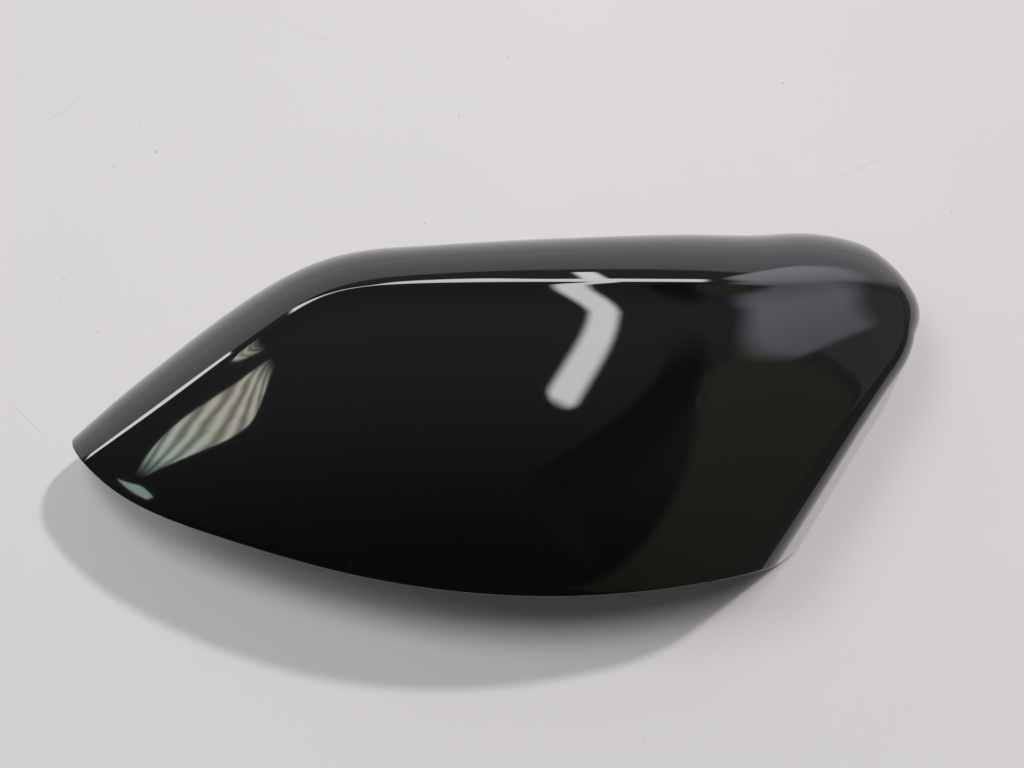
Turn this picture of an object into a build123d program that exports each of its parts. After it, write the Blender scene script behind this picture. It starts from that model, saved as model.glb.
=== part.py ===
from build123d import *
import os
from math import atan, ceil, cos, radians, sin, tan

# Wing mirror cover: one moulded skin with a crowned face, a crease line, a rolled flank and an end wall,
# and snap tongues and ribs on its inside.
# Millimetres. X runs along the cover from the pointed tip to the broad end, Y across to the top flank, Z up.
# The cover lies open side down, on its rim and on the ends of its snap tongues.

# Skin
wall = 2.5                     # moulded wall thickness
crown_height = 46.3            # highest point of the crowned face above the rim plane
crown_x = 0.0                  # place of that highest point
crown_y = 13.0
crown_radius_x = 380.0         # crown radius along the cover
crown_radius_y = 350.0         # crown radius across the cover
crease_softness = 1.0          # half width of the rounding along the crease line
edge_round = 0.4               # rounding of the rim and of the lower edge

# Stations along the crease line, from just past the tip to just past the heel. At each a shallow hollow lifts
# the crowned face to the crease, the flank leaves the crown with a break, rolls over with a radius and runs
# down to the rim with a draft: x, y, roll radius, break angle, draft angle, hollow width, hollow angle
flank_stations = [
    (-130.0, -23.5, 13.8, 9.0, 6.0, 5.0, 0.5),
    (-98.0, -4.0, 23.8, 9.0, 6.0, 5.0, 0.5),
    (-66.0, 17.5, 30.3, 10.0, 6.0, 6.5, 4.0),
    (-51.0, 26.5, 28.5, 11.0, 5.0, 8.0, 8.0),
    (-30.0, 29.0, 27.0, 10.0, 5.0, 9.0, 9.4),
    (10.0, 29.0, 29.7, 8.0, 5.0, 9.0, 9.4),
    (50.0, 30.5, 31.4, 6.0, 5.0, 9.0, 9.4),
    (82.0, 33.7, 28.6, 3.0, 5.0, 6.0, 6.2),
    (100.5, 35.2, 29.1, 2.0, 5.0, 3.0, 1.4),
    (107.5, 32.0, 18.0, 1.0, 6.0, 3.0, 0.4),
    (107.9, 24.2, 8.1, 1.0, 7.0, 3.0, 0.4),
    (100.7, 11.9, 6.9, 1.0, 8.0, 3.0, 0.4),
    (64.1, -35.0, 9.9, 1.0, 9.0, 3.0, 0.4),
    (26.1, -83.4, 12.3, 1.0, 9.0, 3.0, 0.4),
]

# Lower edge in plan, from the tip to the heel, and the lean of its cut from upright
lower_edge = [(-128.0, -2.0), (-108.5, -21.5), (-74.5, -38.0), (-37.0, -49.0), (10.5, -54.0), (46.0, -50.5),
              (70.0, -45.0), (85.0, -41.0)]
edge_lean = 15.0

# Spare skin outside the lower edge, which the cut takes away
spare_border = [(-89.0, -55.0), (-38.0, -67.0)]
spare_at_tip = 13.0
spare_at_heel = 25.0
spare_depth = 4.0              # flank drawn below the rim plane

# Rim: flat along the top flank and the end wall, rising in an arc towards the tip
rim_rise_start = -42.0
rim_rise_end = -140.0
rim_rise = 16.0

# Snap tongues: x, y and the direction that the barb points to, in degrees from X
snap_tongues = [(-42.0, 38.0, -90.0), (33.0, 43.0, -90.0), (97.0, 21.0, 150.0), (45.0, -28.0, 90.0),
                (-28.0, -30.0, 90.0), (-86.0, -8.0, 30.0)]
tongue_width = 13.0
tongue_thickness = 2.4
barb_reach = 2.0
barb_height = 7.0              # catch face above the rim plane
barb_slope = 1.0               # drop of the catch face to the nose
lead_in = 4.0                  # height of the sloped nose
gusset_thickness = 1.8
gusset_reach = 10.0            # along the skin, behind the tongue
gusset_foot = 12.0             # lowest point of the gusset above the rim plane
gusset_rise = 24.0             # rise of its sloped edge

# Stiffening ribs on the inside
rib_thickness = 1.5
rib_height = 5.0
cross_rib_x = [-58.0, 2.0, 66.0]
cross_rib_span = (-40.0, 34.0)
long_rib_y = -4.0
long_rib_span = (-72.0, 88.0)
lip_setback = 6.0              # locating lip behind the lower edge
lip_span = (-92.0, 52.0)

# Loft sections
station_run = 26.0             # longest run between two sections
station_turn = 18.0            # largest turn between two sections
probe = 0.01                   # step for reading a slope
over = 200.0                   # longer than the cover, for cutting tools


def crown(x, y):
    """Height of the crowned face, part of a torus."""
    across = crown_radius_x - crown_radius_y + (crown_radius_y ** 2 - (y - crown_y) ** 2) ** 0.5
    return crown_height - crown_radius_x + (across ** 2 - (x - crown_x) ** 2) ** 0.5


crease_points = [Vector(row[0], row[1]) for row in flank_stations]
first_run = (crease_points[1] - crease_points[0]).normalized()
last_run = (crease_points[-1] - crease_points[-2]).normalized()
crease_path = Spline(*crease_points, tangents=(first_run, last_run))
knots = [crease_path.param_at_point(point) for point in crease_points]


def outward(t):
    """Plan direction from the crease line to the rim."""
    heading = crease_path % t
    return Vector(-heading.Y, heading.X)


border_start = crease_path @ 0 - outward(0) * spare_at_tip
border_end = crease_path @ 1 - outward(1) * spare_at_heel
border_path = Spline(border_start, *spare_border, border_end)


def along_flank(t, column):
    """A station value at the place t of the crease line, on a smooth curve with no overshoot."""
    values = [row[column] for row in flank_stations]
    last = len(knots) - 1
    i = max(k for k in range(last) if knots[k] <= t or k == 0)
    span = knots[i + 1] - knots[i]
    f = (t - knots[i]) / span

    def rise(k):
        if k in (0, last):
            return 0.0
        before = (values[k] - values[k - 1]) / (knots[k] - knots[k - 1])
        after = (values[k + 1] - values[k]) / (knots[k + 1] - knots[k])
        if before * after <= 0:
            return 0.0
        return 2 * before * after / (before + after)

    ease = f * f * (3 - 2 * f)
    start_bend = f * (1 - f) ** 2 * span * rise(i)
    end_bend = f * f * (1 - f) * span * rise(i + 1)
    return values[i] + (values[i + 1] - values[i]) * ease + start_bend - end_bend


def skin_line(t, depth):
    """Section line at a depth below the outer surface, from the spare border over the face to below the rim.

    Returns its edges, its first point and its last point.
    """
    crease = crease_path @ t
    out = outward(t)
    radius = along_flank(t, 2)
    turn = radians(along_flank(t, 3))
    draft = radians(along_flank(t, 4))
    hollow = along_flank(t, 5)
    hollow_turn = radians(along_flank(t, 6))

    def crown_along(reach):
        return crown(crease.X + reach * out.X, crease.Y + reach * out.Y)

    def slope(reach):
        return atan((crown_along(reach) - crown_along(reach + probe)) / probe)

    top = crown_along(0) + hollow * tan(hollow_turn) / 2
    raised = slope(0) - hollow_turn
    broken = slope(0) + turn
    upright = radians(90) - draft
    soft_radius = crease_softness / tan((broken - raised) / 2)

    def place(reach, height):
        return Vector(crease.X + reach * out.X, crease.Y + reach * out.Y, height)

    def around(centre, arc_radius, angle):
        return place(centre[0] + arc_radius * sin(angle), centre[1] + arc_radius * cos(angle))

    def under(reach, lift, angle):
        return place(reach - depth * sin(angle), crown_along(reach) + lift - depth * cos(angle))

    soft_centre = (-crease_softness * cos(raised) - soft_radius * sin(raised),
                   top + crease_softness * sin(raised) - soft_radius * cos(raised))
    roll_centre = (crease_softness * cos(broken) - radius * sin(broken),
                   top - crease_softness * sin(broken) - radius * cos(broken))
    hollow_start = under(-hollow, 0, slope(-hollow))
    hollow_middle = under(-hollow / 2, hollow * tan(hollow_turn) / 8, slope(-hollow / 2) - hollow_turn / 2)
    soft_start = around(soft_centre, soft_radius - depth, raised)
    soft_middle = around(soft_centre, soft_radius - depth, (raised + broken) / 2)
    roll_start = around(roll_centre, radius - depth, broken)
    roll_middle = around(roll_centre, radius - depth, (broken + upright) / 2)
    roll_end = around(roll_centre, radius - depth, upright)
    foot_reach = (roll_end - crease).dot(out) + (roll_end.Z + spare_depth) * tan(draft)
    foot = place(foot_reach, -spare_depth)
    border = border_path @ t
    border = Vector(border.X, border.Y, crown(border.X, border.Y) - depth)
    middle = (border + hollow_start) / 2
    middle = Vector(middle.X, middle.Y, crown(middle.X, middle.Y) - depth)
    edges = [
        Edge.make_three_point_arc(border, middle, hollow_start),
        Edge.make_three_point_arc(hollow_start, hollow_middle, soft_start),
        Edge.make_three_point_arc(soft_start, soft_middle, roll_start),
        Edge.make_three_point_arc(roll_start, roll_middle, roll_end),
        Edge.make_line(roll_end, foot),
    ]
    return edges, border, foot


def section_places():
    """Places of the loft sections: the stations and even steps between them, shorter in turns."""
    places = [0.0]
    for start, end in zip(knots, knots[1:]):
        run = (end - start) * crease_path.length
        turn = (crease_path % start).get_angle(crease_path % end)
        steps = ceil(max(run / station_run, turn / station_turn))
        places += [start + (end - start) * step / steps for step in range(1, steps + 1)]
    return places


def skin_section(t):
    """Closed section of the skin, one wall thick."""
    outer, outer_border, outer_foot = skin_line(t, 0)
    inner, inner_border, inner_foot = skin_line(t, wall)
    rim = Edge.make_line(outer_foot, inner_foot)
    edge = Edge.make_line(inner_border, outer_border)
    return Wire(outer + [rim] + inner[::-1] + [edge])


def inside_section(t, depth):
    """Closed section of everything inside the skin from a depth below its outer surface."""
    line, border, foot = skin_line(t, depth)
    below = Vector(border.X, border.Y, -spare_depth)
    return Wire(line + [Edge.make_line(foot, below), Edge.make_line(below, border)])


def lower_edge_line(shift):
    """Lower edge of the skin, moved inwards by a shift, drawn at the crown height along its leaning cut."""
    lean = tan(radians(edge_lean))
    points = [(x, y + shift - lean * (crown_height - crown(x, y)), crown_height) for x, y in lower_edge]
    return Spline(*points)


def lower_edge_cut():
    """Everything outside the lower edge, along its leaning cut."""
    line = lower_edge_line(0)
    start = line @ 0
    end = line @ 1
    corners = Polyline(end, (end.X + over, end.Y, crown_height), (end.X + over, -over, crown_height),
                       (start.X - over, -over, crown_height), (start.X - over, start.Y, crown_height), start)
    down = Vector(0, sin(radians(edge_lean)), -cos(radians(edge_lean)))
    return extrude(make_face(line.edges() + corners.edges()), over, dir=down, both=True)


def rim_cut():
    """Everything below the rim: flat, then rising in a smooth curve towards the tip."""
    rise = TangentArc((rim_rise_start, 0), (rim_rise_end, rim_rise), tangent=(-1, 0))
    tip = rise @ 1
    corners = Polyline(tip, (tip.X, -over), (over, -over), (over, 0), (rim_rise_start, 0))
    return extrude(Plane.XZ * make_face(rise.edges() + corners.edges()), over, both=True)


def round_borders(shell):
    """Round the rim and the lower edge, but not the border where the flat rim runs smoothly into its rise."""
    edges = ShapeList()
    for face in shell.faces():
        if face.geom_type != GeomType.BSPLINE:
            edges += face.edges()
    edges = [edge for edge in edges if abs(edge.center().X - rim_rise_start) > probe]
    return Part() + shell.fillet(edge_round, edges)


def snap_tongue(x, y, heading):
    """Blade with a barb at its free end and two gussets behind it, drawn through the skin."""
    tip = tongue_thickness
    nose = tip + barb_reach
    blade = Polyline((0, 0), (tip, 0), (nose, lead_in), (nose, barb_height - barb_slope), (tip, barb_height),
                     (tip, over), (0, over), close=True)
    solid = extrude(Plane.XZ * make_face(blade), tongue_width / 2, both=True)
    gusset = make_face(Polyline((0, gusset_foot), (0, over), (-gusset_reach, over),
                                (-gusset_reach, gusset_foot + gusset_rise), close=True))
    web = extrude(Plane.XZ * gusset, gusset_thickness / 2, both=True)
    offset = (tongue_width - gusset_thickness) / 2
    solid = solid + Pos(0, offset, 0) * web + Pos(0, -offset, 0) * web
    return Pos(x, y, 0) * Rot(0, 0, heading) * solid


def ribs():
    """Cross ribs, a long rib and the locating lip behind the lower edge, drawn through the skin."""
    cross_length = cross_rib_span[1] - cross_rib_span[0]
    cross_middle = (cross_rib_span[1] + cross_rib_span[0]) / 2
    long_length = long_rib_span[1] - long_rib_span[0]
    long_middle = (long_rib_span[1] + long_rib_span[0]) / 2
    plates = [Pos(x, cross_middle, 0) * Box(rib_thickness, cross_length, over) for x in cross_rib_x]
    plates.append(Pos(long_middle, long_rib_y, 0) * Box(long_length, rib_thickness, over))
    front = lower_edge_line(lip_setback)
    back = lower_edge_line(lip_setback + rib_thickness)
    ends = Line(front @ 0, back @ 0).edges() + Line(front @ 1, back @ 1).edges()
    band = make_face(front.edges() + back.edges() + ends)
    lip_length = lip_span[1] - lip_span[0]
    lip_middle = (lip_span[1] + lip_span[0]) / 2
    lip = extrude(band, over / 2, dir=(0, 0, 1), both=True)
    plates.append(lip & Pos(lip_middle, 0, 0) * Box(lip_length, over, over))
    return plates


places = section_places()
skin = Solid.make_loft([skin_section(t) for t in places])
inside = Solid.make_loft([inside_section(t, wall / 2) for t in places])
below_ribs = Pos(0, 0, -wall / 2 - rib_height) * inside

skin = round_borders(skin - rim_cut() - lower_edge_cut())
tongues = Part() + [snap_tongue(*row) for row in snap_tongues]
stiffeners = Part() + ribs()
cover = skin + [tongues & inside, (stiffeners & inside) - below_ribs]

box = cover.bounding_box()
cover = Pos(-box.center().X, -box.center().Y, -box.min.Z) * cover
print("solids", len(cover.solids()), "volume", round(cover.volume), "size", box.size)
print("moved by", -box.center().X, -box.center().Y, -box.min.Z)

os.makedirs("parts", exist_ok=True)
export_step(cover, "parts/mirror_cover.step")
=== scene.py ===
# %% [markdown]
# # A wing mirror cover in gloss black paint
# The real thing is one thin injection moulding: a crowned face with a sharp crease line, a flank that rolls
# over from the crease to a rim, and snap tongues and ribs inside. It lies open side down on a pale table.
# Gloss black paint shows nothing but reflections, so the shape has to be perfectly smooth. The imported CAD
# model gives the place, and this script draws the same sections from the same sizes, far more finely.

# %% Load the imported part
import math

import bmesh
import bpy
import numpy as np
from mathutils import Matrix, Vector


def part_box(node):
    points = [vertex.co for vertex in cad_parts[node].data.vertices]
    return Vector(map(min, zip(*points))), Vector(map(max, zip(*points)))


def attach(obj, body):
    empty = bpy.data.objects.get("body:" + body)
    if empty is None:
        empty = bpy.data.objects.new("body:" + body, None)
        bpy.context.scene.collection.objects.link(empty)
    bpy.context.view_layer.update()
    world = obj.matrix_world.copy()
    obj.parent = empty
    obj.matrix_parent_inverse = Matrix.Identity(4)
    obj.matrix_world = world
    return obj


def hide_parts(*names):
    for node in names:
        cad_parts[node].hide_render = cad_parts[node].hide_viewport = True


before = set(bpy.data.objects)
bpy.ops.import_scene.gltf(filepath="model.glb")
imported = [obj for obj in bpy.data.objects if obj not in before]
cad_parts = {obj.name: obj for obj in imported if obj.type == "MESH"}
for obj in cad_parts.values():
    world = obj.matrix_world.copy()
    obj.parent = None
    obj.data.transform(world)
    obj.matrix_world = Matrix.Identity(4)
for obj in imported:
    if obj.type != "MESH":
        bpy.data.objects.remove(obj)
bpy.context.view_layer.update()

NODE = "mirror_cover"

# %% [markdown]
# ## Sizes of the skin
# All sizes are in millimetres, as the designer wrote them, and are turned into metres at the very end.
# Each station along the crease line says how the flank leaves it. A hollow runs along the face side of the
# crease and makes it stand up as a sharp line, as pressed car panels have it.

# %% Sizes of the skin
MM = 0.001
wall = 2.5
crown_height = 46.3
crown_x, crown_y = 0.0, 13.0
crown_radius_x, crown_radius_y = 380.0, 350.0
crease_softness = 1.0
edge_round = 0.4

# x, y, roll radius, break angle, draft angle, hollow width, hollow angle
flank_stations = np.array([
    (-130.0, -23.5, 13.8, 9.0, 6.0, 5.0, 0.5),
    (-98.0, -4.0, 23.8, 9.0, 6.0, 5.0, 0.5),
    (-66.0, 17.5, 30.3, 10.0, 6.0, 6.5, 4.0),
    (-51.0, 26.5, 28.5, 11.0, 5.0, 8.0, 8.0),
    (-30.0, 29.0, 27.0, 10.0, 5.0, 9.0, 9.4),
    (10.0, 29.0, 29.7, 8.0, 5.0, 9.0, 9.4),
    (50.0, 30.5, 31.4, 6.0, 5.0, 9.0, 9.4),
    (82.0, 33.7, 28.6, 3.0, 5.0, 6.0, 6.2),
    (100.5, 35.2, 29.1, 2.0, 5.0, 3.0, 1.4),
    (107.5, 32.0, 18.0, 1.0, 6.0, 3.0, 0.4),
    (107.9, 24.2, 8.1, 1.0, 7.0, 3.0, 0.4),
    (100.7, 11.9, 6.9, 1.0, 8.0, 3.0, 0.4),
    (64.1, -35.0, 9.9, 1.0, 9.0, 3.0, 0.4),
    (26.1, -83.4, 12.3, 1.0, 9.0, 3.0, 0.4),
])
lower_edge = np.array([(-128.0, -2.0), (-108.5, -21.5), (-74.5, -38.0), (-37.0, -49.0), (10.5, -54.0),
                       (46.0, -50.5), (70.0, -45.0), (85.0, -41.0)])
edge_lean = math.tan(math.radians(15.0))
rim_rise_start, rim_rise_end, rim_rise = -42.0, -140.0, 16.0
below_rim = 4.0
print("stations", len(flank_stations))

# %% [markdown]
# ## A smooth line through points
# A cubic spline keeps slope and curvature continuous, which is what makes highlights run without kinks.
# Blender's own Bezier handles would need hand tuning, so a small class solves the spline with numpy.


# %% Smooth line
class SmoothLine:
    """Cubic spline through points, which leaves its ends along its first and last leg."""

    def __init__(self, points):
        self.points = np.array(points, float)
        self.at = np.concatenate([[0], np.cumsum(np.linalg.norm(np.diff(self.points, axis=0), axis=1))])
        step = np.diff(self.at)
        leg = np.diff(self.points, axis=0) / step[:, None]
        rows = np.eye(len(self.points))
        sums = np.empty_like(self.points)
        sums[0], sums[-1] = leg[0], leg[-1]
        for i in range(1, len(self.points) - 1):
            rows[i, i - 1:i + 2] = step[i], 2 * (step[i - 1] + step[i]), step[i - 1]
            sums[i] = 3 * (step[i] * leg[i - 1] + step[i - 1] * leg[i])
        self.slopes = np.linalg.solve(rows, sums)

    def _leg(self, s):
        """The leg that holds a place, its length and the share of it that is behind the place."""
        i = int(np.clip(np.searchsorted(self.at, s) - 1, 0, len(self.at) - 2))
        h = self.at[i + 1] - self.at[i]
        return i, h, (s - self.at[i]) / h

    def point(self, s):
        """Point of the line at a distance along its legs."""
        i, h, f = self._leg(s)
        p, m = self.points, self.slopes
        return ((1 + 2 * f) * (1 - f) ** 2 * p[i] + f * f * (3 - 2 * f) * p[i + 1]
                + h * f * (1 - f) ** 2 * m[i] - h * f * f * (1 - f) * m[i + 1])

    def heading(self, s):
        """Unit direction of the line at a distance along its legs."""
        i, h, f = self._leg(s)
        p, m = self.points, self.slopes
        d = (6 * f * (1 - f) * (p[i + 1] - p[i]) / h
             + (1 - f) * (1 - 3 * f) * m[i] + f * (3 * f - 2) * m[i + 1])
        return d / np.linalg.norm(d)


crease_line = SmoothLine(flank_stations[:, :2])
print("crease line", round(float(crease_line.at[-1])), "mm")

# %% [markdown]
# ## The crowned face and the station values
# The face is part of a torus: one radius along the cover and one across it. Values between stations follow a
# monotone curve, so a radius never swings past the radii on either side of it.


# %% Crowned face
def crown(x, y):
    """Height of the crowned face."""
    across = crown_radius_x - crown_radius_y + np.sqrt(crown_radius_y ** 2 - (y - crown_y) ** 2)
    return crown_height - crown_radius_x + np.sqrt(across ** 2 - (x - crown_x) ** 2)


def crown_normal(x, y):
    """Unit normal of the crowned face."""
    round_y = np.sqrt(crown_radius_y ** 2 - (y - crown_y) ** 2)
    across = crown_radius_x - crown_radius_y + round_y
    round_x = np.sqrt(across ** 2 - (x - crown_x) ** 2)
    n = np.stack([(x - crown_x) / round_x, across * (y - crown_y) / (round_y * round_x), np.ones_like(x)], -1)
    return n / np.linalg.norm(n, axis=-1, keepdims=True)


def station_value(s, column):
    """Value of a column of the stations at a place of the crease line."""
    at, values = crease_line.at, flank_stations[:, column]
    i = int(np.clip(np.searchsorted(at, s) - 1, 0, len(at) - 2))
    slopes = np.diff(values) / np.diff(at)

    def rise(k):
        if k in (0, len(at) - 1) or slopes[k - 1] * slopes[k] <= 0:
            return 0.0
        return 2 * slopes[k - 1] * slopes[k] / (slopes[k - 1] + slopes[k])

    h = at[i + 1] - at[i]
    f = (s - at[i]) / h
    return (values[i] + (values[i + 1] - values[i]) * f * f * (3 - 2 * f)
            + h * f * (1 - f) ** 2 * rise(i) - h * f * f * (1 - f) * rise(i + 1))


print("crown at the middle", round(float(crown(0.0, 0.0)), 2), "mm")

# %% [markdown]
# ## One section across the skin
# A section runs from the lower edge over the face, through the hollow, round the crease and down the rolled
# flank. The inner side is the same section at the depth of the wall, so the wall is even everywhere.


# %% Section of the skin
class Section:
    """Everything about the place s of the crease line that its section needs."""

    def __init__(self, s):
        self.foot = crease_line.point(s)
        heading = crease_line.heading(s)
        self.out = np.array([-heading[1], heading[0]])
        self.radius, turn, draft, self.hollow, lift = (station_value(s, column) for column in range(2, 7))
        self.lift = math.radians(lift)
        normal = crown_normal(*self.foot[:, None])[0]
        self.slope = math.atan2(normal[:2] @ self.out, normal[2])
        self.face_slope = self.slope - self.lift
        self.broken = self.slope + math.radians(turn)
        self.upright = math.radians(90 - draft)
        self.draft = math.radians(draft)
        self.top = float(crown(*self.foot)) + self.hollow * math.tan(self.lift) / 2
        self.soft = crease_softness / math.tan((self.broken - self.face_slope) / 2)
        self.soft_centre = self.arc_centre(-crease_softness, self.face_slope, self.soft)
        self.roll_centre = self.arc_centre(crease_softness, self.broken, self.radius)

    def arc_centre(self, run, angle, radius):
        """Centre of an arc that starts at a run from the crease, at an angle of slope."""
        return (run * math.cos(angle) - radius * math.sin(angle),
                self.top - run * math.sin(angle) - radius * math.cos(angle))

    def place(self, reach, height):
        """Points of the section's upright plane, from distances along its outward direction and heights."""
        reach = np.asarray(reach, float)
        plan = self.foot + reach[:, None] * self.out
        return np.column_stack([plan, np.broadcast_to(height, reach.shape)])

    def arc(self, centre, radius, angles):
        """Points of an arc about a centre in the section's plane."""
        return self.place(centre[0] + radius * np.sin(angles), centre[1] + radius * np.cos(angles))

    def raised(self, reach):
        """Rise of the hollow's surface over the crowned face."""
        return math.tan(self.lift) * np.clip(self.hollow + reach, 0, None) ** 2 / (2 * self.hollow)

    def hollow_line(self, depth, count):
        """The hollow beside the crease, from the face to the crease."""
        reach = np.linspace(-self.hollow, -crease_softness, count + 1)[:-1]
        spot = self.place(reach, 0.0)
        x, y = spot[:, 0], spot[:, 1]
        normal = crown_normal(x, y)
        face_angle = np.arctan2(normal[:, :2] @ self.out, normal[:, 2])
        angle = face_angle - self.lift * (self.hollow + reach) / self.hollow
        height = crown(x, y) + self.raised(reach)
        return self.place(reach - depth * np.sin(angle), height - depth * np.cos(angle))

    def flank(self, depth, counts):
        """Crease, roll and upright wall, down to below the rim."""
        crease_angles = np.linspace(self.face_slope, self.broken, counts[0])
        crease = self.arc(self.soft_centre, self.soft - depth, crease_angles)
        roll_angles = np.linspace(self.broken, self.upright, counts[1])[1:]
        roll = self.arc(self.roll_centre, self.radius - depth, roll_angles)
        drop = np.linspace(0, roll[-1, 2] + below_rim, counts[2])[1:]
        reach = (roll[-1, :2] - self.foot) @ self.out
        return np.vstack([crease, roll, self.place(reach + drop * math.tan(self.draft), roll[-1, 2] - drop)])


middle = Section(crease_line.at[5])
print("flank drops", round(float(middle.top), 1), "mm over a roll of", round(float(middle.radius), 1), "mm")

# %% [markdown]
# ## Where the skin ends
# The lower edge is a smooth line in plan, cut through the wall with a lean. The rim is flat, and rises
# towards the tip in an arc. A section is trimmed by moving its outer points onto the cut. Points that meet
# there are merged later.

# %% Cuts
edge_sample_count = 600
cut_rounds = 30
edge_points = [(x, y - edge_lean * (crown_height - crown(x, y))) for x, y in lower_edge]
edge_line = SmoothLine(edge_points)
edge_samples = np.array([edge_line.point(s) for s in np.linspace(0, edge_line.at[-1], edge_sample_count)])
rise_run = rim_rise_start - rim_rise_end
rise_radius = (rise_run ** 2 + rim_rise ** 2) / (2 * rim_rise)


def inside_edge(points):
    """Distance in plan from the lower edge's cut, positive on the side that stays."""
    drawn = np.interp(points[:, 0], edge_samples[:, 0], edge_samples[:, 1])
    return points[:, 1] - edge_lean * (crown_height - points[:, 2]) - drawn


def above_rim(points):
    """Height over the rim, which rises towards the tip."""
    run = np.clip(rim_rise_start - points[:, 0], 0, rise_run)
    return points[:, 2] - (rise_radius - np.sqrt(rise_radius ** 2 - run ** 2))


def trim(line, inside):
    """Move the points before the cut to where the line crosses it."""
    kept = np.flatnonzero(inside > 0)
    if not len(kept):
        return None, None
    first = kept[0]
    if first:
        share = inside[first] / (inside[first] - inside[first - 1])
        line, inside = line.copy(), inside.copy()
        line[:first] = line[first] + (line[first - 1] - line[first]) * share
        inside[:first] = 1.0
    return line, inside


def face_edge(x, depth):
    """Point of the face at a depth, on the lower edge's cut."""
    y = drawn = float(np.interp(x, edge_samples[:, 0], edge_samples[:, 1]))
    for _ in range(cut_rounds):
        z = crown(x, y) - depth / crown_normal(np.array([x]), np.array([y]))[0, 2]
        y = drawn + edge_lean * (crown_height - z)
    return np.array([x, y])


print("lower edge from", edge_samples[0].round(1), "to", edge_samples[-1].round(1))

# %% [markdown]
# ## From sections to one closed skin
# Every section becomes a closed loop: outer line, rounded rim, inner line, rounded lower edge. Loops follow
# each other closely where the crease line turns. A lofted grid of quads like this shades much better than a
# boolean.

# %% Places of the loops
longest_step, tip_step, tip_run = 1.3, 0.3, 20.0
largest_turn, least_turn = math.radians(1.8), 1e-6
turn_probe = 0.2


def loop_places():
    """Places of the crease line that get a loop, closer together at the tip and in bends."""
    places = [0.0]
    while places[-1] < crease_line.at[-1] - longest_step:
        s = places[-1]
        bend = np.clip(crease_line.heading(s) @ crease_line.heading(s + turn_probe), -1, 1)
        step = tip_step if s < tip_run else longest_step
        places.append(s + min(step, largest_turn * turn_probe / max(math.acos(bend), least_turn)))
    return np.array(places)


all_places = loop_places()
sections = [Section(s) for s in all_places]
shoulders = np.array([part.hollow_line(0.0, 1)[0] for part in sections])
whole = np.flatnonzero(inside_edge(shoulders) > 0)
print("sections", len(sections), "of which", len(whole), "cross the face")


# %% Loops
# points on the face, on the hollow, and on the crease, the roll and the wall
outer_counts, inner_counts = (34, 9, (7, 30, 9)), (20, 6, (5, 18, 6))
most_drawn_in = 0.45           # share of a line that a rounded end may take
sliver_span = (0.2, 0.8)       # share of the wall that a loop too thin for an inner side keeps
corner_steps = np.linspace(0, 1, 5)[1:, None]


def face_line(index, depth, count):
    """From the lower edge to the hollow, straight in plan and on the crowned face."""
    shoulder = sections[index].hollow_line(depth, 1)[0]
    if index < whole[0] or index > whole[-1]:
        return np.repeat(shoulder[None], count, axis=0)
    share = (all_places[index] - all_places[whole[0]]) / (all_places[whole[-1]] - all_places[whole[0]])
    first, last = shoulders[whole[0], 0], shoulders[whole[-1], 0]
    start = face_edge(first + (last - first) * share, depth)
    plan = start + (shoulder[:2] - start) * np.linspace(0, 1, count + 1)[:-1, None]
    x, y = plan.T
    return np.column_stack([plan, crown(x, y) - depth / crown_normal(x, y)[:, 2]])


def skin_side(index, depth, counts):
    """Line of a section at a depth, from the lower edge to the rim, or nothing if the cuts take it away."""
    part = sections[index]
    line = np.vstack([face_line(index, depth, counts[0]), part.hollow_line(depth, counts[1]),
                      part.flank(depth, counts[2])])
    inside = inside_edge(line)
    if whole[0] <= index <= whole[-1]:
        inside[:counts[0]] = 1.0
    inside = np.minimum(inside, above_rim(line))
    line, inside = trim(line, inside)
    if line is None:
        return None
    return trim(line[::-1], inside[::-1])[0][::-1]


def draw_in(line, amount):
    """Take an amount off the start of a line."""
    run = np.concatenate([[0], np.cumsum(np.linalg.norm(np.diff(line, axis=0), axis=1))])
    amount = min(amount, most_drawn_in * run[-1])
    start = np.array([np.interp(amount, run, line[:, k]) for k in range(3)])
    line = line.copy()
    line[run < amount] = start
    return line


def corner(start, tip, end):
    """Rounded corner from a start to an end, drawn towards a tip."""
    back = 1 - corner_steps
    return back ** 2 * start + 2 * corner_steps * back * tip + corner_steps ** 2 * end


def loop(index):
    """Closed loop of points round the skin: outer line, rim, inner line, lower edge."""
    outer, inner = skin_side(index, 0.0, outer_counts), skin_side(index, wall, inner_counts)
    if outer is None or np.linalg.norm(outer[-1] - outer[0]) < edge_round:
        return None
    if inner is None or np.linalg.norm(inner[-1] - inner[0]) < edge_round:
        share = np.linspace(*sliver_span, inner_counts[0] + inner_counts[1] + sum(inner_counts[2]) - 2)
        inner = outer[0] + (outer[-1] - outer[0]) * share[:, None]
    rounds = []
    for end in (-1, 0):
        across = inner[end] - outer[end]
        across *= edge_round / np.linalg.norm(across)
        rounds.append((outer[end], outer[end] + across, inner[end] - across, inner[end]))
    outer = draw_in(draw_in(outer, edge_round)[::-1], edge_round)[::-1]
    inner = draw_in(draw_in(inner, edge_round)[::-1], edge_round)[::-1]
    rim, low = rounds
    return np.vstack([
        outer, corner(outer[-1], rim[0], rim[1]), corner(inner[-1], rim[3], rim[2])[::-1],
        inner[::-1], corner(inner[0], low[3], low[2]), corner(outer[0], low[0], low[1])[::-1],
    ])


loops = [ring for ring in (loop(i) for i in range(len(sections))) if ring is not None]
loops = np.array(loops)
print("loops", loops.shape)

# %% [markdown]
# ## Put the skin where the CAD part is
# The designer's sections have their own origin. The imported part's box gives the shift into the shared frame.

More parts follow.
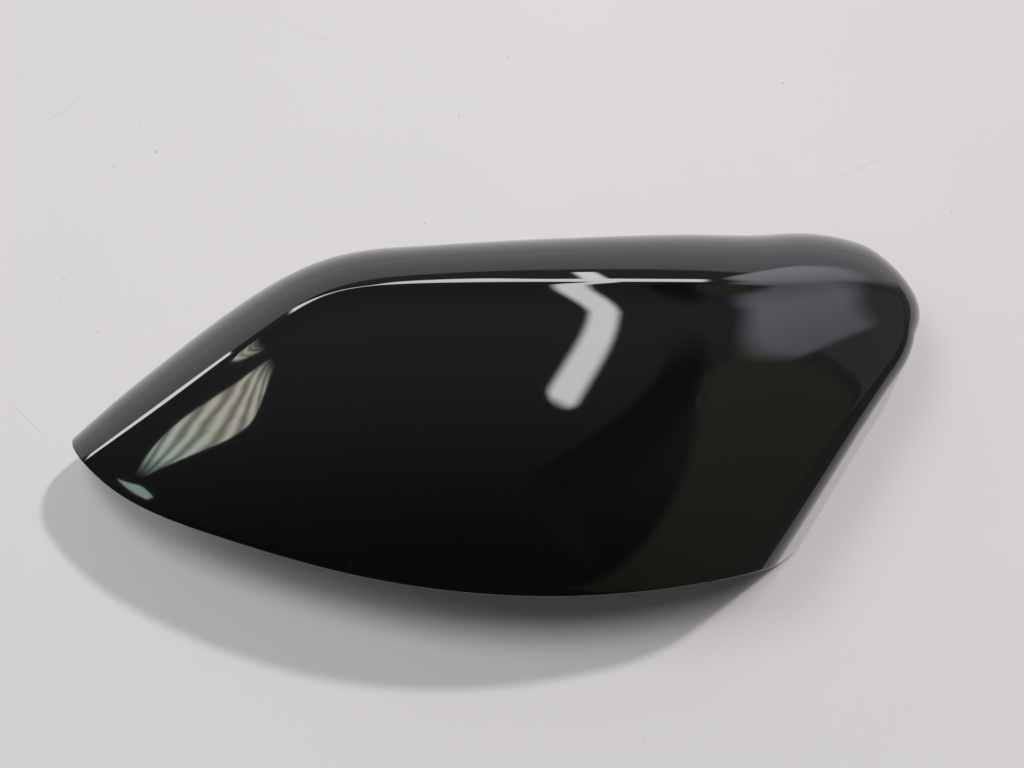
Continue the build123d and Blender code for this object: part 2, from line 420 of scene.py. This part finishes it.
# %% Shift into the shared frame
low_corner, high_corner = (np.array(corner_point) for corner_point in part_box(NODE))
own_low, own_high = loops.min(axis=(0, 1)), loops.max(axis=(0, 1))
shift = ((low_corner + high_corner) / MM - own_low - own_high) / 2
shift[2] = low_corner[2] / MM
cad_size = (high_corner - low_corner) / MM
print("shift", shift.round(2), "size", (own_high - own_low).round(1), "CAD", cad_size.round(1))


def metres(points):
    """Points of the shared frame from the designer's millimetres."""
    return (np.asarray(points) + shift) * MM


# %% Skin mesh
merge_gap, least_edge = 0.004, 0.002
ring_count, ring_size = loops.shape[:2]
bare_from = outer_counts[0] + outer_counts[1] + sum(outer_counts[2]) - 2 + 2 * len(corner_steps) - 1
bare_to = ring_size - 2 * len(corner_steps)
faces, bare_faces = [], []
for i in range(ring_count - 1):
    for j in range(ring_size):
        k = (j + 1) % ring_size
        faces.append((i * ring_size + j, i * ring_size + k, (i + 1) * ring_size + k, (i + 1) * ring_size + j))
        bare_faces.append(int(bare_from <= j < bare_to))
faces += [tuple(range(ring_size))[::-1], tuple(range((ring_count - 1) * ring_size, ring_count * ring_size))]
bare_faces += [0, 0]

skin_mesh = bpy.data.meshes.new("cover_skin")
skin_mesh.from_pydata(metres(loops.reshape(-1, 3)).tolist(), [], faces)
skin_mesh.polygons.foreach_set("material_index", bare_faces)
work = bmesh.new()
work.from_mesh(skin_mesh)
bmesh.ops.remove_doubles(work, verts=work.verts, dist=merge_gap * MM)
bmesh.ops.dissolve_degenerate(work, dist=least_edge * MM, edges=work.edges)
bmesh.ops.recalc_face_normals(work, faces=work.faces)
for face in work.faces:
    face.smooth = True
work.to_mesh(skin_mesh)
open_edges = sum(1 for edge in work.edges if not edge.is_manifold)
work.free()
cover_skin = bpy.data.objects.new("cover_skin", skin_mesh)
bpy.context.collection.objects.link(cover_skin)
print("skin faces", len(skin_mesh.polygons), "open edges", open_edges)

# %% [markdown]
# ## Snap tongues and ribs inside
# They are seen only from below, but the part has to look right from all sides. Each tongue is a blade with a
# barb and two gussets, each rib a thin plate that follows the skin. They could be cut from blocks with
# booleans. Prisms and plates whose tops end inside the wall are cleaner, and no gap can open.

# %% Height of the skin over a place
foot_count = 900
steepest = 0.99                # sine of the steepest angle of the roll that a height is read at
nearest_places = np.linspace(0, crease_line.at[-1], foot_count)
nearest_points = np.array([crease_line.point(s) for s in nearest_places])


def mid_wall(x, y):
    """Height of the middle of the wall over a place in plan."""
    spot = np.array([x, y])
    part = Section(nearest_places[np.linalg.norm(nearest_points - spot, axis=1).argmin()])
    reach = (spot - part.foot) @ part.out
    if reach > 0:
        angle = math.asin(min((reach - part.roll_centre[0]) / (part.radius - wall / 2), steepest))
        return part.roll_centre[1] + (part.radius - wall / 2) * math.cos(angle)
    return float(crown(x, y) + part.raised(reach)) - wall / 2


print("middle of the wall over the origin", round(mid_wall(0.0, 0.0), 2), "mm")

# %% Sizes of the tongues and ribs
snap_tongues = [(-42.0, 38.0, -90.0), (33.0, 43.0, -90.0), (97.0, 21.0, 150.0), (45.0, -28.0, 90.0),
                (-28.0, -30.0, 90.0), (-86.0, -8.0, 30.0)]
tongue_width, tongue_thickness = 13.0, 2.4
barb_reach, barb_height, barb_slope, lead_in = 2.0, 7.0, 1.0, 4.0
gusset_thickness, gusset_reach, gusset_foot, gusset_rise = 1.8, 10.0, 12.0, 24.0
rib_thickness, rib_height = 1.5, 5.0
cross_rib_x, cross_rib_span = (-58.0, 2.0, 66.0), (-40.0, 34.0)
long_rib_y, long_rib_span = -4.0, (-72.0, 88.0)
lip_setback, lip_span = 6.0, (-92.0, 52.0)
gusset_overlap, gusset_steps = 0.3, 9
cross_rib_steps, long_rib_steps, lip_steps = 30, 50, 60
tongue_bevel, rib_bevel, bevel_segments = 0.3, 0.25, 2
print("tongues", len(snap_tongues), "cross ribs", len(cross_rib_x))


# %% Tongue and rib builders
def add_prism(work, first, second):
    """Close two equal outlines into a prism."""
    sides = [[work.verts.new(point) for point in metres(outline)] for outline in (first, second)]
    work.faces.new(sides[0][::-1])
    work.faces.new(sides[1])
    for i in range(len(first)):
        k = (i + 1) % len(first)
        work.faces.new((sides[0][i], sides[0][k], sides[1][k], sides[1][i]))


def add_plate(work, path, tops, bottoms, half, across):
    """A thin plate along a path, from its lower to its upper heights."""
    path, across = np.asarray(path), np.asarray(across)
    outline = [np.vstack([np.column_stack([path + side * half * across, tops]),
                          np.column_stack([path + side * half * across, bottoms])[::-1]]) for side in (-1, 1)]
    count = len(path)
    sides = [[work.verts.new(point) for point in metres(points)] for points in outline]
    for i in range(count - 1):
        a, b = i, i + 1
        c, d = 2 * count - 2 - i, 2 * count - 1 - i
        work.faces.new((sides[0][a], sides[0][b], sides[0][c], sides[0][d]))
        work.faces.new((sides[1][d], sides[1][c], sides[1][b], sides[1][a]))
        work.faces.new((sides[0][b], sides[0][a], sides[1][a], sides[1][b]))
        work.faces.new((sides[0][d], sides[0][c], sides[1][c], sides[1][d]))
    for a, d in ((0, 2 * count - 1), (count - 1, count)):
        work.faces.new((sides[0][a], sides[0][d], sides[1][d], sides[1][a]))


def add_tongue(work, x, y, heading):
    """A snap tongue whose barb points to a heading, with two gussets behind it."""
    ahead = np.array([math.cos(math.radians(heading)), math.sin(math.radians(heading))])
    aside = np.array([-ahead[1], ahead[0]])

    def outline(v):
        nose = tongue_thickness + barb_reach
        rows = [(0, 0), (tongue_thickness, 0), (nose, lead_in), (nose, barb_height - barb_slope),
                (tongue_thickness, barb_height), (tongue_thickness, None), (0, None)]
        points = []
        for u, z in rows:
            plan = np.array([x, y]) + u * ahead + v * aside
            points.append((*plan, mid_wall(*plan) if z is None else z))
        return points

    add_prism(work, outline(-tongue_width / 2), outline(tongue_width / 2))
    for v in (-1, 1):
        offset = v * (tongue_width - gusset_thickness) / 2
        back = np.linspace(-gusset_overlap, gusset_reach, gusset_steps)
        path = [np.array([x, y]) - u * ahead + offset * aside for u in back]
        tops = np.array([mid_wall(*spot) for spot in path])
        bottoms = gusset_foot + gusset_rise * np.clip(back, 0, None) / gusset_reach
        keep = max(2, int(np.sum(tops - bottoms > gusset_overlap)))
        add_plate(work, path[:keep], tops[:keep], bottoms[:keep], gusset_thickness / 2, aside)


def add_rib(work, start, end, count):
    """A straight rib that follows the skin."""
    start, end = np.array(start), np.array(end)
    run = (end - start) / np.linalg.norm(end - start)
    path = [start + (end - start) * f for f in np.linspace(0, 1, count)]
    tops = np.array([mid_wall(*spot) for spot in path])
    add_plate(work, path, tops, tops - wall / 2 - rib_height, rib_thickness / 2, np.array([-run[1], run[0]]))


def finish_piece(work, name, bevel):
    """Turn the built faces into a piece with softly rounded edges."""
    bmesh.ops.recalc_face_normals(work, faces=work.faces)
    mesh = bpy.data.meshes.new(name)
    work.to_mesh(mesh)
    work.free()
    piece = bpy.data.objects.new(name, mesh)
    bpy.context.collection.objects.link(piece)
    rounding = piece.modifiers.new("edge rounding", "BEVEL")
    rounding.width = bevel * MM
    rounding.segments = bevel_segments
    rounding.limit_method = "ANGLE"
    rounding.harden_normals = True
    for polygon in mesh.polygons:
        polygon.use_smooth = True
    return piece


# %% Tongues and ribs
work = bmesh.new()
for row in snap_tongues:
    add_tongue(work, *row)
tongues = finish_piece(work, "snap_tongues", tongue_bevel)

work = bmesh.new()
for x in cross_rib_x:
    add_rib(work, (x, cross_rib_span[0]), (x, cross_rib_span[1]), cross_rib_steps)
add_rib(work, (long_rib_span[0], long_rib_y), (long_rib_span[1], long_rib_y), long_rib_steps)
lip_x = np.linspace(*lip_span, lip_steps)
lip_y = np.interp(lip_x, edge_samples[:, 0], edge_samples[:, 1]) + lip_setback + rib_thickness / 2
lip_tops = np.array([mid_wall(x, y) for x, y in zip(lip_x, lip_y)])
lip_path = np.column_stack([lip_x, lip_y])
lip_bottoms = lip_tops - wall / 2 - rib_height
add_plate(work, lip_path, lip_tops, lip_bottoms, rib_thickness / 2, np.array([0.0, 1.0]))
ribs = finish_piece(work, "stiffening_ribs", rib_bevel)
print("tongue faces", len(tongues.data.polygons), "rib faces", len(ribs.data.polygons))

# %% [markdown]
# ## Shared effects
# Dust falls on paint, bare plastic and table alike, and fine scratches mark paint and table. Each could be
# drawn anew in every material. A node group with named inputs is built once and takes other values in each.


# %% Node helpers
def new_group(name, inputs, outputs):
    """A node group with its sockets, and the nodes for its inputs and outputs."""
    group = bpy.data.node_groups.new(name, "ShaderNodeTree")
    for label, kind, value in inputs:
        group.interface.new_socket(label, in_out="INPUT", socket_type=kind).default_value = value
    for label, kind in outputs:
        group.interface.new_socket(label, in_out="OUTPUT", socket_type=kind)
    return group, group.nodes.new("NodeGroupInput"), group.nodes.new("NodeGroupOutput")


def add(tree, kind, links=(), **values):
    """Add a node, set its plain values and link its inputs."""
    node = tree.nodes.new(kind)
    for key, value in values.items():
        setattr(node, key, value)
    for socket, source in dict(links).items():
        if isinstance(source, bpy.types.NodeSocket):
            tree.links.new(source, node.inputs[socket])
        else:
            node.inputs[socket].default_value = source
    return node


def steps(tree, source, low, high):
    """Smooth step of a value between two limits."""
    return add(tree, "ShaderNodeMapRange", {"Value": source, "From Min": low, "From Max": high},
               interpolation_type="SMOOTHSTEP").outputs["Result"]


def product(tree, first, second):
    """Product of two values."""
    return add(tree, "ShaderNodeMath", {0: first, 1: second}, operation="MULTIPLY").outputs[0]


# %% Dust group
FLOAT, VECTOR = "NodeSocketFloat", "NodeSocketVector"
dust_group, given, result = new_group(
    "fine_dust",
    [("Position", VECTOR, (0, 0, 0)), ("Speck Scale", FLOAT, 900.0), ("Speck Size", FLOAT, 0.2)],
    [("Mask", FLOAT)])
spot = given.outputs["Position"]
cells = add(dust_group, "ShaderNodeTexVoronoi", {"Vector": spot, "Scale": given.outputs["Speck Scale"]})
drift = add(dust_group, "ShaderNodeTexNoise", {"Vector": spot, "Scale": 35.0, "Detail": 4.0})
chance = steps(dust_group, drift.outputs["Fac"], 0.45, 0.75)
near = steps(dust_group, cells.outputs["Distance"], given.outputs["Speck Size"], 0.0)
picked = add(dust_group, "ShaderNodeSeparateColor", {"Color": cells.outputs["Color"]})
rare = steps(dust_group, picked.outputs["Red"], 0.90, 0.94)
dusty = product(dust_group, product(dust_group, near, rare), chance)
dust_group.links.new(dusty, result.inputs["Mask"])
print("group", dust_group.name)

# %% Scratch group
scratch_group, given, result = new_group(
    "hair_scratches",
    [("Position", VECTOR, (0, 0, 0)), ("Scale", FLOAT, 20.0), ("Width", FLOAT, 0.01)],
    [("Mask", FLOAT)])
spot = given.outputs["Position"]
sway_reach = (0.09, 0.09, 0.09)
sway = add(scratch_group, "ShaderNodeTexNoise", {"Vector": spot, "Scale": 11.0, "Detail": 1.0})
curved = add(scratch_group, "ShaderNodeVectorMath", {0: sway.outputs["Color"], 1: sway_reach, 2: spot},
             operation="MULTIPLY_ADD")
border = add(scratch_group, "ShaderNodeTexVoronoi",
             {"Vector": curved.outputs[0], "Scale": given.outputs["Scale"]}, feature="DISTANCE_TO_EDGE")
hair = steps(scratch_group, border.outputs["Distance"], given.outputs["Width"], 0.0)
patches = add(scratch_group, "ShaderNodeTexNoise", {"Vector": spot, "Scale": 17.0, "Detail": 2.0})
some = steps(scratch_group, patches.outputs["Fac"], 0.58, 0.72)
scratch_group.links.new(product(scratch_group, hair, some), result.inputs["Mask"])
print("group", scratch_group.name)

# %% [markdown]
# ## Gloss black paint
# Black paint with clear lacquer: almost no colour of its own, a mirror-like top, the faintest ripple that
# sprayed lacquer has, and a little dust and a few hair scratches that lift the roughness where they lie.
# A metallic mirror would be too bright when seen straight on, so the gloss is that of a clear coat.


# %% Material helpers
def new_material(name):
    """A material with its node tree, its shader and the place on the piece."""
    material = bpy.data.materials.new(name)
    material.use_nodes = True
    tree = material.node_tree
    shader = tree.nodes["Principled BSDF"]
    place = add(tree, "ShaderNodeTexCoord").outputs["Object"]
    return material, tree, shader, place


def use_group(tree, group, links):
    """Place a shared effect in a material and give its mask."""
    return add(tree, "ShaderNodeGroup", links, node_tree=group).outputs["Mask"]


MIX_FACTOR, MIX_FIRST, MIX_SECOND, MIX_RESULT = 0, 6, 7, 2


def mix_colour(tree, factor, first, second):
    """Colour that goes from a first to a second one as a factor rises."""
    first, second = (end if isinstance(end, bpy.types.NodeSocket) else (*end, 1.0) for end in (first, second))
    ends = {MIX_FACTOR: factor, MIX_FIRST: first, MIX_SECOND: second}
    return add(tree, "ShaderNodeMix", ends, data_type="RGBA").outputs[MIX_RESULT]


def bump(tree, shader, height, distance, strength=1.0):
    """Fine relief from a height, with a distance in metres."""
    node = add(tree, "ShaderNodeBump", {"Height": height, "Distance": distance, "Strength": strength})
    tree.links.new(node.outputs["Normal"], shader.inputs["Normal"])


# %% Paint
ripple_depth = 0.0000015
paint, tree, shader, place = new_material("gloss_black_paint")
dust = use_group(tree, dust_group, {"Position": place, "Speck Scale": 620.0, "Speck Size": 0.13})
scratches = use_group(tree, scratch_group, {"Position": place, "Scale": 40.0, "Width": 0.004})
tone = add(tree, "ShaderNodeTexNoise", {"Vector": place, "Scale": 20.0, "Detail": 3.0}).outputs["Fac"]
black = mix_colour(tree, tone, (0.0012, 0.0012, 0.0014), (0.0020, 0.0020, 0.0021))
colour = mix_colour(tree, dust, black, (0.05, 0.05, 0.05))
tree.links.new(colour, shader.inputs["Base Color"])
rough = add(tree, "ShaderNodeMath", {0: dust, 1: 0.35, 2: 0.03}, operation="MULTIPLY_ADD").outputs[0]
rough = add(tree, "ShaderNodeMath", {0: scratches, 1: 0.12, 2: rough}, operation="MULTIPLY_ADD").outputs[0]
tree.links.new(rough, shader.inputs["Roughness"])
ripple = add(tree, "ShaderNodeTexNoise", {"Vector": place, "Scale": 420.0, "Detail": 2.0}).outputs["Fac"]
bump(tree, shader, ripple, ripple_depth)
shader.inputs["IOR"].default_value = 1.5
shader.inputs["Coat Weight"].default_value = 0.6
shader.inputs["Coat Roughness"].default_value = 0.02
print("material", paint.name)

# %% [markdown]
# ## Bare moulded plastic
# The inside is not painted: black plastic straight from the mould, satin, with a fine spark-eroded grain. The
# grain is far too fine to model, so it is relief from a noise, and a wider noise varies colour and roughness.

# %% Bare plastic
grain_depth, grain_strength = 0.00004, 0.6
bare, tree, shader, place = new_material("bare_black_plastic")
grain = add(tree, "ShaderNodeTexNoise", {"Vector": place, "Scale": 1500.0, "Detail": 3.0}).outputs["Fac"]
flow = add(tree, "ShaderNodeTexNoise", {"Vector": place, "Scale": 25.0, "Detail": 4.0}).outputs["Fac"]
dust = use_group(tree, dust_group, {"Position": place, "Speck Scale": 500.0, "Speck Size": 0.3})
base = mix_colour(tree, flow, (0.011, 0.011, 0.012), (0.019, 0.019, 0.020))
tree.links.new(mix_colour(tree, dust, base, (0.12, 0.115, 0.11)), shader.inputs["Base Color"])
rough = add(tree, "ShaderNodeMapRange", {"Value": flow, "To Min": 0.42, "To Max": 0.56}).outputs["Result"]
tree.links.new(rough, shader.inputs["Roughness"])
bump(tree, shader, grain, grain_depth, grain_strength)
skin_mesh.materials.append(paint)
skin_mesh.materials.append(bare)
for piece in (tongues, ribs):
    piece.data.materials.append(bare)
print("material", bare.name)

# %% [markdown]
# ## Table
# The cover lies on a plain pale sheet with fine specks and hair scratches. It is matt, so that it takes the
# shadow and mirrors next to nothing.

# %% Table
table_side = 6.0
table_material, tree, shader, place = new_material("pale_table")
specks = use_group(tree, dust_group, {"Position": place, "Speck Scale": 300.0, "Speck Size": 0.22})
scratches = use_group(tree, scratch_group, {"Position": place, "Scale": 17.0, "Width": 0.0045})
tone = add(tree, "ShaderNodeTexNoise", {"Vector": place, "Scale": 9.0, "Detail": 5.0}).outputs["Fac"]
base = mix_colour(tree, tone, (0.70, 0.672, 0.697), (0.76, 0.727, 0.75))
base = mix_colour(tree, specks, base, (0.30, 0.28, 0.28))
base = mix_colour(tree, scratches, base, (0.58, 0.56, 0.56))
tree.links.new(base, shader.inputs["Base Color"])
shader.inputs["Roughness"].default_value = 0.55
shader.inputs["Specular IOR Level"].default_value = 0.3

bpy.ops.mesh.primitive_plane_add(size=table_side, location=(0, 0, 0))
table = bpy.context.object
table.name = "table"
table.data.materials.append(table_material)
print("table", table.dimensions[:2])

# %% [markdown]
# ## What the paint mirrors
# Black gloss paint shows the room: a tube lamp overhead, a bright strip along the crease, a curtain, windows
# and walls. A picture of a room could give all that. Glowing cards on a dome are easier to steer, because
# each reflection has its own card. The camera doesn't see them, and they cast no light on the table.

# %% Glowing cards on a dome
DOME, LAYER_GAP = 1500.0, 20.0
BAND_ROWS, BAND_COLUMNS = 72, 8
CREAM, TEAL, TINT_FROM = (1.0, 0.98, 0.80), (0.74, 1.0, 0.87), 0.45
FOLD_SWAY, FOLD_SLANT, FOLD_DARK = 4.0, 0.6, 0.35


def dome(turn, rise, layer):
    """Place on the dome, from degrees around it and above the table. Each layer lies inside the last."""
    a, e = math.radians(turn), math.radians(rise)
    ray = np.array([math.cos(e) * math.cos(a), math.cos(e) * math.sin(a), math.sin(e)])
    return (DOME - LAYER_GAP * layer) * ray


def border_mask(tree, spot, soft):
    """Mask that fades out along the four borders of a card."""
    mask = None
    for socket, width in (("X", soft[0]), ("Y", soft[1])):
        away = add(tree, "ShaderNodeMath", {0: 1.0, 1: spot.outputs[socket]}, operation="SUBTRACT").outputs[0]
        for side in (spot.outputs[socket], away):
            edge = steps(tree, side, 0.0, width)
            mask = edge if mask is None else product(tree, mask, edge)
    return mask


def cloth_folds(tree, place, spot, folds):
    """Brightness of slanting folds of cloth."""
    sway = add(tree, "ShaderNodeTexNoise", {"Vector": place, "Scale": 4.0}).outputs["Fac"]
    phase = product(tree, sway, FOLD_SWAY)
    for socket, count in (("X", -folds), ("Y", folds * FOLD_SLANT)):
        phase = add(tree, "ShaderNodeMath", {0: spot.outputs[socket], 1: count * math.tau, 2: phase},
                    operation="MULTIPLY_ADD").outputs[0]
    wave = add(tree, "ShaderNodeMath", {0: phase}, operation="SINE").outputs[0]
    light = add(tree, "ShaderNodeMapRange", {"Value": wave, "From Min": -1.0, "To Min": FOLD_DARK})
    return light.outputs["Result"]


def glow_material(name, soft, colour, strength, folds=None, fade=1.0):
    """Emission that fades out at a card's borders, and in strength along it. Folds give a striped cloth."""
    material = bpy.data.materials.new(name)
    material.use_nodes = True
    tree = material.node_tree
    tree.nodes.clear()
    place = add(tree, "ShaderNodeTexCoord").outputs["UV"]
    spot = add(tree, "ShaderNodeSeparateXYZ", {0: place})
    mask = border_mask(tree, spot, soft)
    if folds:
        tint = mix_colour(tree, steps(tree, spot.outputs["X"], TINT_FROM, 1.0), CREAM, TEAL)
        power = product(tree, cloth_folds(tree, place, spot, folds), strength)
        glow = add(tree, "ShaderNodeEmission", {"Color": tint, "Strength": power})
    else:
        glow = add(tree, "ShaderNodeEmission", {"Color": (*colour, 1.0), "Strength": strength})
        if fade != 1.0:
            power = add(tree, "ShaderNodeMapRange",
                        {"Value": spot.outputs["X"], "To Min": strength, "To Max": strength * fade})
            tree.links.new(power.outputs["Result"], glow.inputs["Strength"])
    clear = add(tree, "ShaderNodeBsdfTransparent")
    blend = add(tree, "ShaderNodeMixShader", {0: mask, 1: clear.outputs[0], 2: glow.outputs[0]})
    out = add(tree, "ShaderNodeOutputMaterial")
    tree.links.new(blend.outputs[0], out.inputs["Surface"])
    return material


def glow_card(name, grid, material):
    """A card from a grid of points, which only reflections see."""
    grid = np.asarray(grid)
    rows, columns = grid.shape[:2]
    quads = [(i * columns + j, i * columns + j + 1, (i + 1) * columns + j + 1, (i + 1) * columns + j)
             for i in range(rows - 1) for j in range(columns - 1)]
    mesh = bpy.data.meshes.new(name)
    mesh.from_pydata(metres(grid.reshape(-1, 3)).tolist(), [], quads)
    layer = mesh.uv_layers.new(name="card")
    for corner_index in mesh.loops:
        i, j = divmod(corner_index.vertex_index, columns)
        layer.data[corner_index.index].uv = (i / (rows - 1), j / (columns - 1))
    mesh.materials.append(material)
    sheet = bpy.data.objects.new(name, mesh)
    bpy.context.collection.objects.link(sheet)
    sheet.visible_camera = False
    sheet.visible_shadow = False
    sheet.visible_diffuse = False
    return sheet


def band(name, rows, colour, strength, soft=(0.03, 0.1), folds=None, fade=1.0, layer=0):
    """A band on the dome; each row holds turn and rise of its lower border, then of its upper border."""
    line = SmoothLine(rows)
    grid = []
    for s in np.linspace(0, line.at[-1], BAND_ROWS):
        row = line.point(s)
        across = np.linspace(0, 1, BAND_COLUMNS)
        grid.append([dome(*(row[:2] + (row[2:] - row[:2]) * f), layer) for f in across])
    return glow_card(name, grid, glow_material(name, soft, colour, strength, folds, fade))


print("dome of", DOME, "mm")

# %% Tube lamp
WHITE = (1.0, 0.985, 0.97)
LAMP_GLOW = 8.0
TUBE_HEIGHT, TUBE_HALF, TUBE_ROUND, TUBE_BLUNT = 1000.0, 54.0, 50.0, 0.1
TUBE_ROWS, TUBE_COLUMNS = 120, 9
tube_path = SmoothLine([(106, 234), (139, 297), (200, 412), (236, 505), (250, 600), (252, 800), (246, 1176),
                        (240, 1500)])
tube_grid = []
for s in np.linspace(0, tube_path.at[-1], TUBE_ROWS):
    heading = tube_path.heading(s)
    aside = np.array([-heading[1], heading[0]])
    half = TUBE_HALF * max(TUBE_BLUNT, math.sqrt(1 - (1 - min(s / TUBE_ROUND, 1)) ** 2))
    reaches = np.linspace(-half, half, TUBE_COLUMNS)
    tube_grid.append([(*(tube_path.point(s) + aside * reach), TUBE_HEIGHT) for reach in reaches])
tube = glow_card("tube_lamp", tube_grid, glow_material("tube_lamp", (0.03, 0.3), WHITE, LAMP_GLOW))
print("tube lamp", round(float(tube_path.at[-1])), "mm long")

# %% Windows, curtain and walls
PALE_VIOLET, VIOLET = (0.97, 0.95, 1.0), (0.92, 0.89, 1.0)
window_strip = band("window_strip", [
    (57.5, 39.5, 47, 50), (66.5, 42, 56.5, 55), (74, 43, 67, 59), (86, 44.5, 82, 61), (94, 40, 96, 61.5),
    (101.5, 41, 106.5, 60.5), (112, 46, 118, 57.5), (122.5, 52.5, 124.5, 55.5), (127, 50, 130.5, 53),
    (133, 30, 139.5, 49)], WHITE, LAMP_GLOW, layer=2)
side_strip = band("side_strip", [
    (140.5, 28, 144.5, 38), (150, 29.5, 156, 39), (158, 29.5, 164, 36), (164.5, 27.5, 169.5, 31)],
    WHITE, LAMP_GLOW, layer=2)
curtain = band("curtain", [
    (145, 51, 146, 52), (155, 47.5, 160, 53), (165, 42, 168, 47), (172.5, 39, 173, 40)],
    WHITE, 5.5, (0.2, 0.06), folds=5.0)
curtain_hem = band("curtain_hem", [
    (172.5, 36.5, 173.5, 38.5), (174.5, 38.5, 174, 40.5), (176.5, 41.5, 176, 42.5)],
    (0.74, 1.0, 0.88), 3.4, (0.1, 0.2), layer=1)
far_window = band("far_window", [
    (30, 31, 30, 46.5), (34, 30.5, 34, 52), (38, 26, 38, 53), (46, 18, 46, 47), (58, 20, 58, 38)],
    VIOLET, 0.95, (0.05, 0.25), fade=2.4, layer=2)
far_wall = band("far_wall", [
    (10, 20, 10, 40), (24, 20, 24, 40), (36, 20, 36, 46)], PALE_VIOLET, 0.3, (0.1, 0.06), layer=1)
back_wall = band("back_wall", [(turn, -3, turn, 31) for turn in range(36, 176, 10)],
                 PALE_VIOLET, 0.85, (0.05, 0.07))
green_wall = band("green_wall", [
    (38, 51, 38, 60), (24, 41, 24, 64), (10, 40, 10, 68), (-30, 56, -30, 74), (-60, 60, -60, 77)],
    (0.82, 1.0, 0.66), 0.25, (0.03, 0.08), fade=0.25, layer=1)
right_wall = band("right_wall", [
    (-70, -3, -70, 64), (-40, -3, -40, 60), (-10, -3, -10, 52), (16, -3, 16, 44)],
    (0.92, 1.0, 0.88), 0.14, (0.1, 0.1))
dark_beam = band("dark_beam", [
    (50, 55, 52, 59), (43.5, 53, 47, 62), (35, 56, 44, 68), (26, 60, 45, 78), (8, 70, 60, 86),
    (-40, 75, -60, 88)], WHITE, 0.045, (0.1, 0.3), layer=1)
cards = (tube, window_strip, side_strip, curtain, curtain_hem, far_window, far_wall, back_wall, green_wall,
         right_wall, dark_beam)
print("cards", [sheet.name for sheet in cards])

# %% [markdown]
# ## Lamps and room light
# A small key lamp gives the shadow its border, and two wide soft lamps, overhead and from the window side,
# fill it. They stand metres away, so the table is lit evenly. No reflection shows them, as the cards stand
# for them there. The room itself is a dim world, lighter to the left, and the camera sees it as a pale
# backdrop.


# %% Lamps
def add_lamp(name, place, size, power, colour):
    """An area lamp that shines at the origin and that no reflection sees."""
    data = bpy.data.lights.new(name, "AREA")
    data.shape = "ELLIPSE"
    data.size, data.size_y = size
    data.energy = power
    data.color = colour
    lamp = bpy.data.objects.new(name, data)
    bpy.context.collection.objects.link(lamp)
    lamp.location = place
    lamp.rotation_euler = (-lamp.location).to_track_quat("-Z", "Y").to_euler()
    lamp.visible_glossy = False
    return lamp


key_lamp = add_lamp("key_lamp", (5.1, 3.36, 7.65), (0.66, 0.66), 400.0, (1.0, 0.89, 0.94))
ceiling_lamp = add_lamp("ceiling_lamp", (0.5, 0.35, 5.2), (1.6, 1.4), 84.0, (0.95, 1.0, 0.95))
window_lamp = add_lamp("window_lamp", (-2.5, 0.6, 4.2), (1.8, 1.8), 48.0, (0.88, 1.0, 0.91))
print("lamps", key_lamp.name, ceiling_lamp.name, window_lamp.name)

# %% Room light
world = bpy.data.worlds.new("room")
bpy.context.scene.world = world
world.use_nodes = True
room = world.node_tree
background = room.nodes["Background"]
path = add(room, "ShaderNodeLightPath")
heading = add(room, "ShaderNodeSeparateXYZ", {0: add(room, "ShaderNodeTexCoord").outputs["Generated"]})
ahead = steps(room, heading.outputs["Y"], -0.15, 0.55)
leftward = steps(room, heading.outputs["X"], 0.6, -0.8)
mirrored = mix_colour(room, ahead, (0.025, 0.025, 0.025), (0.195, 0.195, 0.205))
shed = mix_colour(room, leftward, (0.05, 0.05, 0.05), (0.22, 0.23, 0.22))
seen = mix_colour(room, path.outputs["Is Glossy Ray"], shed, mirrored)
seen = mix_colour(room, path.outputs["Is Camera Ray"], seen, (0.80, 0.79, 0.80))
room.links.new(seen, background.inputs["Color"])
print("room", world.name)

# %% [markdown]
# ## Camera
# The height of the view, its distance and its focal length come from one fit of the outline in perspective.
# The focal length is held in pixels of a frame 1024 wide, because the width of the sensor is not known.

# %% Camera
VIEW_HEIGHT = math.radians(68.0)
VIEW_DISTANCE, VIEW_TARGET = 284.0, (0.0, 0.0, 45.0)
FOCAL_PIXELS, IMAGE_WIDTH, SENSOR_WIDTH = 1098.0, 1024, 36.0
camera_data = bpy.data.cameras.new("camera")
camera_data.sensor_width = SENSOR_WIDTH
camera_data.lens = camera_data.sensor_width * FOCAL_PIXELS / IMAGE_WIDTH
camera_data.clip_start = 0.01
camera = bpy.data.objects.new("camera", camera_data)
bpy.context.collection.objects.link(camera)
away = np.array([0.0, -math.cos(VIEW_HEIGHT), math.sin(VIEW_HEIGHT)])
camera.location = metres(np.array(VIEW_TARGET) + VIEW_DISTANCE * away)
camera.rotation_euler = (math.radians(90.0) - VIEW_HEIGHT, 0.0, 0.0)
bpy.context.scene.camera = camera
bpy.context.scene.view_settings.view_transform = "Standard"
print("camera", camera.location[:], "lens", round(camera_data.lens, 1))

# %% [markdown]
# ## Hand the pieces to the frame
# The skin, the tongues and the ribs together stand for the one CAD node, and all ride on the one body of this
# part. The box of the CAD part and the box of the skin are printed above, where the skin is shifted, so that
# the two can be compared.

# %% Ride, replace and finish
for piece in (cover_skin, tongues, ribs):
    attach(piece, "root")
    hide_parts(NODE)
